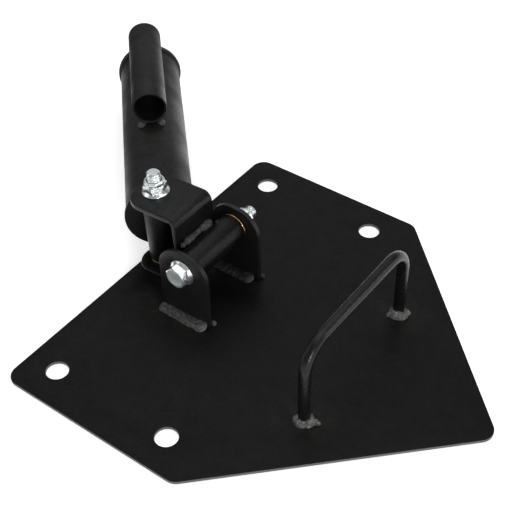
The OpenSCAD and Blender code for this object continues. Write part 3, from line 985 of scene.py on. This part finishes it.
def front_bead(name, low, high, end_in):
    """The long bead in front of an ear, and the pool at its end."""
    front = low[1]
    cut_at = (0, front + INTO_STEEL, 0)
    start = (low[0] + ROW_START, front - ROW_OUT, PLATE_TOP - ROW_DOWN)
    stop = (high[0] - end_in - ROW_STOP, front - ROW_OUT, PLATE_TOP - ROW_DOWN)
    row = chain(start, stop, ROW_SIZES, uneven=0.05, wander=0.3, gap=0.22)
    long_row = trim(puddles(name, row, ROW_SHAPE), cut_at, Y_WAY)
    pool_at = (high[0] - end_in, front - POOL_OUT, PLATE_TOP + POOL_UP)
    end = trim(pool(pool_at, POOL_R, POOL_EDGE, POOL_TILT), cut_at, Y_WAY)
    return long_row, end


def corner_beads(low, high):
    """The short beads behind an ear, one at each corner."""
    behind = high[1]
    spots = []
    for end_x, toward in ((low[0] + CORNER_IN, 1), (high[0] - CORNER_IN, -1)):
        spots += [((end_x, behind + 1.6, PLATE_TOP + 0.4), 3.3),
                  ((end_x + toward * 3.5, behind + 1.2, PLATE_TOP + 0.3), 3.0)]
    return trim(puddles("corner", spots, CORNER_SHAPE), (0, behind - INTO_STEEL, 0), -Y_WAY)


def sink(piece):
    """Trim a bead a little below the plate's top."""
    return trim(piece, (0, 0, PLATE_TOP - INTO_STEEL), -UP)


for ear, node, name, paint in (("front_ear", "front_ear_weld", "front_ear_bead", weld),
                               ("rear_ear", "rear_ear_weld", "rear_ear_bead", weld_shaded)):
    low, high = box_mm(ear)
    piece, end = front_bead(name, low, high, END_IN[ear])
    melt(joined(piece, end, corner_beads(low, high)), voxel=0.45, passes=2)
    finish_piece(sink(piece), "base", "powder_coat", paint, node)

# %% [markdown]
# ### Collars round the handle's feet
# The rod stands on the plate, and a bead goes once round each foot. These collars are thick at the front
# right, where the torch was held, and thin behind. Each one has short tails, where the torch was drawn away
# to a side.

# %% Handle collars
THICKEST_AT = math.radians(-60)
EVERY = 12
COLLAR_SIZE, COLLAR_GROWTH = 1.0, 2.9
COLLAR_RING, RING_GROWTH = 5.3, 0.7
COLLAR_SHAPE = (1, 1, 1.3)
TAIL_START, TAIL_SIZES = 7, (2.6, 1.3)
FOOT_BEADS = (
    ("handle_weld_front", "front_foot_bead", ((12, 12.5),)),
    ("handle_weld_rear", "rear_foot_bead", ((14, 10.0), (244, 10.5))),
)


def level_way(angle):
    return Vector((math.cos(angle), math.sin(angle), 0))


for node, name, tails in FOOT_BEADS:
    low, high = box_mm(node)
    middle = Vector([(a + b) / 2 for a, b in zip(low, high)])
    middle.z = PLATE_TOP + 0.4
    balls = []
    for turn in range(0, 360, EVERY):
        angle = math.radians(turn)
        facing = 0.5 + 0.5 * math.cos(angle - THICKEST_AT)
        radius = (COLLAR_SIZE + COLLAR_GROWTH * facing) * random.uniform(0.78, 1.18)
        ring = COLLAR_RING + RING_GROWTH * facing + random.uniform(-0.9, 0.9)
        balls.append((middle + level_way(angle) * ring, radius))
    for tail_way, reach in tails:
        tail = level_way(math.radians(tail_way))
        balls += chain(middle + tail * TAIL_START, middle + tail * reach, TAIL_SIZES, uneven=0.3, wander=1.1)
    piece = melt(puddles(name, balls, COLLAR_SHAPE), voxel=0.45, passes=1)
    finish_piece(sink(piece), "base", "powder_coat", weld_feet, node)

# %% [markdown]
# ### Beads at the yoke, the disc and the small tube
# The yoke's back meets the tilt tube in two straight beads. The swivel tube meets the disc in the same way,
# and the small tube lies in two pairs of beads on the sleeve, of which the near pair starts in a knob. Each
# chain is drawn along the long side of its CAD bead. The yoke's upper bead is the one in plain view and its
# lumps are large, so they are written down one by one.

# %% Solids of a node
def parts_of(node):
    """The separate solids of a node, as lists of points in millimetres."""
    copy_of(node, "parts")
    bpy.ops.object.mode_set(mode="EDIT")
    bpy.ops.mesh.select_all(action="SELECT")
    bpy.ops.mesh.remove_doubles(threshold=MERGE_WITHIN)
    bpy.ops.mesh.separate(type="LOOSE")
    bpy.ops.object.mode_set(mode="OBJECT")
    found = []
    for piece in list(bpy.context.selected_objects):
        found.append([vertex.co / MM for vertex in piece.data.vertices])
        bpy.data.objects.remove(piece)
    return found


def along(points, way):
    """Both ends and the middle line of a cloud of points, along a direction."""
    middle = sum(points, Vector()) / len(points)
    reach = [(point - middle).dot(way) for point in points]
    return middle + way * min(reach), middle + way * max(reach)


print("beads at the yoke:", len(parts_of("yoke_welds")))

# %% Long beads
KNOB_IN, KNOB_OUT = 0.8, 1.9
END_SIZE = 0.94


def long_bead(node, name, way, body, reach, size, paint, lumps=None, knob=0):
    """One row for each solid of a bead node. The highest may have its own lumps, and each start a knob."""
    balls = []
    rows = [along(points, way) for points in parts_of(node)]
    rows.sort(key=lambda ends: -(ends[0].z + ends[1].z))
    centre = sum((start + stop for start, stop in rows), Vector()) / 2 / len(rows)
    for number, (start, stop) in enumerate(rows):
        middle, half = (start + stop) / 2, (stop - start).length / 2 * reach
        if knob:
            outward = (middle - centre).normalized()
            balls.append((start + way * KNOB_IN + outward * KNOB_OUT, knob))
        if lumps and number == 0:
            balls += [(middle + way * place_on + Vector((shift, 0, 0)), radius)
                      for place_on, radius, shift in lumps]
        else:
            end = way * (half - size)
            balls += chain(middle - end, middle + end, (size, size * END_SIZE), wander=0.35)
    piece = melt(puddles(name, balls), voxel=0.4, passes=1)
    return finish_piece(piece, body, "powder_coat", paint, node)


# Each lump of the yoke's upper bead: its place along the bead, its radius, and its shift along X.
YOKE_LUMPS = [(-21.0, 1.7, 1.4), (-20.4, 2.5, 0.5), (-19.6, 1.5, -0.8), (-16.9, 1.5, 0.2), (-15.2, 3.2, 0.6),
              (-13.2, 3.9, 0.2), (-10.8, 3.1, 1.0), (-8.8, 3.5, 0.1), (-6.4, 2.5, -0.3), (-4.2, 2.7, 0.2),
              (-2.0, 2.2, -0.4), (0.0, 2.6, 0.0), (2.0, 2.3, -0.5), (4.0, 3.1, 0.2), (6.2, 4.2, 0.5),
              (8.4, 3.6, -0.2), (10.4, 4.4, 0.4), (12.6, 3.6, 0.8), (14.4, 3.2, -0.4), (15.6, 2.0, 0.6)]
long_bead("yoke_welds", "yoke_bead", Y_WAY, "yoke_group", 0.70, 3.3, weld_thin, YOKE_LUMPS)
long_bead("swivel_tube_welds", "disc_bead", swivel_up, "sleeve_group", 0.92, 3.0, weld_thin)
long_bead("bar_tube_weld_near", "top_tube_bead_near", sleeve_way, "sleeve_group", 1.0, 2.7, weld, knob=3.3)
long_bead("bar_tube_weld_far", "top_tube_bead_far", sleeve_way, "sleeve_group", 1.0, 2.5, weld)

# %% [markdown]
# ## Floor and light
# The part stands on a plain pale floor. The camera sees that floor white, and so do the mirrors of the
# bolts, while the light that it throws back stays plain. Mirrors see it darker at the left, as in the
# photograph. The world is brighter at the right than at the left, and its ceiling has a dark side behind the
# part. Four soft boxes do the rest: a weak one at the left, a small low one at the front right, a wide one
# overhead, and one behind at the right.

# %% Floor
FLOOR_SIZE = 12
FLOOR_DOWN = 0.0002
BLACK, WHITE = grey(0), grey(1)
DIM_LEFT = grey(0.16)
bpy.ops.object.select_all(action="DESELECT")
bpy.ops.mesh.primitive_plane_add(size=FLOOR_SIZE, location=(0, 0, -FLOOR_DOWN))
floor = bpy.context.object
floor.name = "floor"
floor_white = bpy.data.materials.new("floor_white")
tree = Tree(floor_white)
ray = tree.node("ShaderNodeLightPath")
seen = ray["Is Camera Ray"].math("MAXIMUM", ray["Is Glossy Ray"])
paper = tree.blend(tree.noise(3, 2.0, 0.5), grey(0.90), grey(0.93))
side = tree.node("ShaderNodeSeparateXYZ", {}, {"Vector": tree.place()})["X"]
dim = tree.ramp(side, -0.16, -0.44) * ray["Is Glossy Ray"]
near = tree.near((0, 0, 0), (1.6, 1.6, 1))
lift = tree.blend(seen * (1 - dim) * (1.0 - near * 0.46), BLACK, WHITE)
tree.finish(tree.principled(Base_Color=tree.blend(dim, paper, DIM_LEFT), Roughness=0.9, Emission_Color=lift,
                            Emission_Strength=1.0))
floor.data.materials.append(floor_white)
floor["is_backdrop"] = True
print("floor:", FLOOR_SIZE, "m square")

# %% World
BAND_RIGHT, BAND_LEFT = (0.98, 0.98, 0.99, 1), grey(0.13)
CEILING_LIGHT, CEILING_DARK = (0.60, 0.61, 0.61, 1), grey(0.17)
world = bpy.data.worlds.new("studio")
bpy.context.scene.world = world
tree = Tree(world)
ray = tree.node("ShaderNodeLightPath")
way = tree.node("ShaderNodeTexCoord")["Generated"]
split = tree.node("ShaderNodeSeparateXYZ", {}, {"Vector": way})
sideways, depth, height = split["X"], split["Y"], split["Z"]
band = tree.blend(tree.ramp(sideways, 0.1, -0.7), BAND_RIGHT, BAND_LEFT)
patches = tree.node("ShaderNodeTexNoise", {}, {"Vector": way, "Scale": 1.7, "Detail": 1.0})["Fac"]
behind = tree.ramp(depth, 0.20, 0.55) * tree.ramp(sideways, -0.35, 0.05)
ahead = tree.ramp(depth, -0.10, -0.45) * 0.55
dark_part = (behind * 0.9 + ahead + tree.ramp(patches, 0.38, 0.62) * 0.35).clamped()
ceiling = tree.blend(dark_part, CEILING_LIGHT, CEILING_DARK)
studio_tone = tree.blend(tree.ramp(height, 0.10, 0.34), band, ceiling)
shade = tree.blend(ray["Is Camera Ray"], studio_tone, WHITE)
glow = tree.node("ShaderNodeBackground", {}, {"Color": shade, "Strength": 1.0})["Background"]
tree.node("ShaderNodeOutputWorld", {}, {"Surface": glow})
print("world:", world.name)

# %% Soft boxes
def soft_box(name, position, aim, size, watts):
    data = bpy.data.lights.new(name, "AREA")
    data.shape = "RECTANGLE"
    data.size, data.size_y = size
    data.energy = watts
    lamp = bpy.data.objects.new(name, data)
    bpy.context.scene.collection.objects.link(lamp)
    lamp.location = position
    lamp.rotation_euler = (Vector(aim) - Vector(position)).to_track_quat("-Z", "Y").to_euler()
    return lamp


for name, position, aim, size, watts in (
        ("left_box", (-1.30, -0.80, 0.80), (-0.05, 0, 0.05), (0.8, 1.0), 2.2),
        ("front_box", (1.15, -0.90, 0.50), (0.05, 0, 0.03), (0.35, 0.4), 8.5),
        ("top_box", (0.0, 0.45, 1.55), (0, 0, 0), (2.0, 1.3), 9),
        ("right_box", (1.3, 0.88, 0.66), (0, 0.05, 0.03), (0.45, 0.7), 3.2)):
    soft_box(name, position, aim, size, watts)
    print(name, "gives", watts, "W")

# %% [markdown]
# ## Camera
# The camera stands at the photograph's viewing angle, to the right of the front and well above the floor.
# Its height, turn and distance were found from the plate's corners and holes. It is rolled by a degree and a
# half.

# %% Camera
CAMERA_AZIMUTH = math.radians(37.34)
CAMERA_ELEVATION = math.radians(42.73)
CAMERA_ROLL = math.radians(1.41)
CAMERA_DISTANCE = 0.9601
CAMERA_TARGET = Vector((-0.0090, 0.0599, 0.0))
SENSOR = 36.0
FOCAL_PIXELS = 1063.88
PICTURE = 512

back = Vector((math.sin(CAMERA_AZIMUTH) * math.cos(CAMERA_ELEVATION),
               -math.cos(CAMERA_AZIMUTH) * math.cos(CAMERA_ELEVATION),
               math.sin(CAMERA_ELEVATION)))
right = UP.cross(back).normalized()
up = back.cross(right)
rolled_right = right * math.cos(CAMERA_ROLL) - up * math.sin(CAMERA_ROLL)
rolled_up = up * math.cos(CAMERA_ROLL) + right * math.sin(CAMERA_ROLL)
camera_data = bpy.data.cameras.new("camera")
camera_data.sensor_width = SENSOR
camera_data.lens = SENSOR * FOCAL_PIXELS / PICTURE
camera = bpy.data.objects.new("camera", camera_data)
bpy.context.scene.collection.objects.link(camera)
turn = Matrix((rolled_right, rolled_up, back)).transposed().to_4x4()
camera.matrix_world = Matrix.Translation(CAMERA_TARGET + back * CAMERA_DISTANCE) @ turn
bpy.context.scene.camera = camera
bpy.context.scene.view_settings.view_transform = "Standard"
print("lens:", round(camera_data.lens, 2), "mm")

# %% [markdown]
# ## Last measurements
# The dressed model should fill the same box as the CAD. How far it reaches past the CAD's box at each side
# is printed.

# %% Both boxes, then the end
low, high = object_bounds()
print("grown by, in mm:", [round((a - b) / MM, 3) for a, b in zip(cad_box[0], low)],
      [round((b - a) / MM, 3) for a, b in zip(cad_box[1], high)])
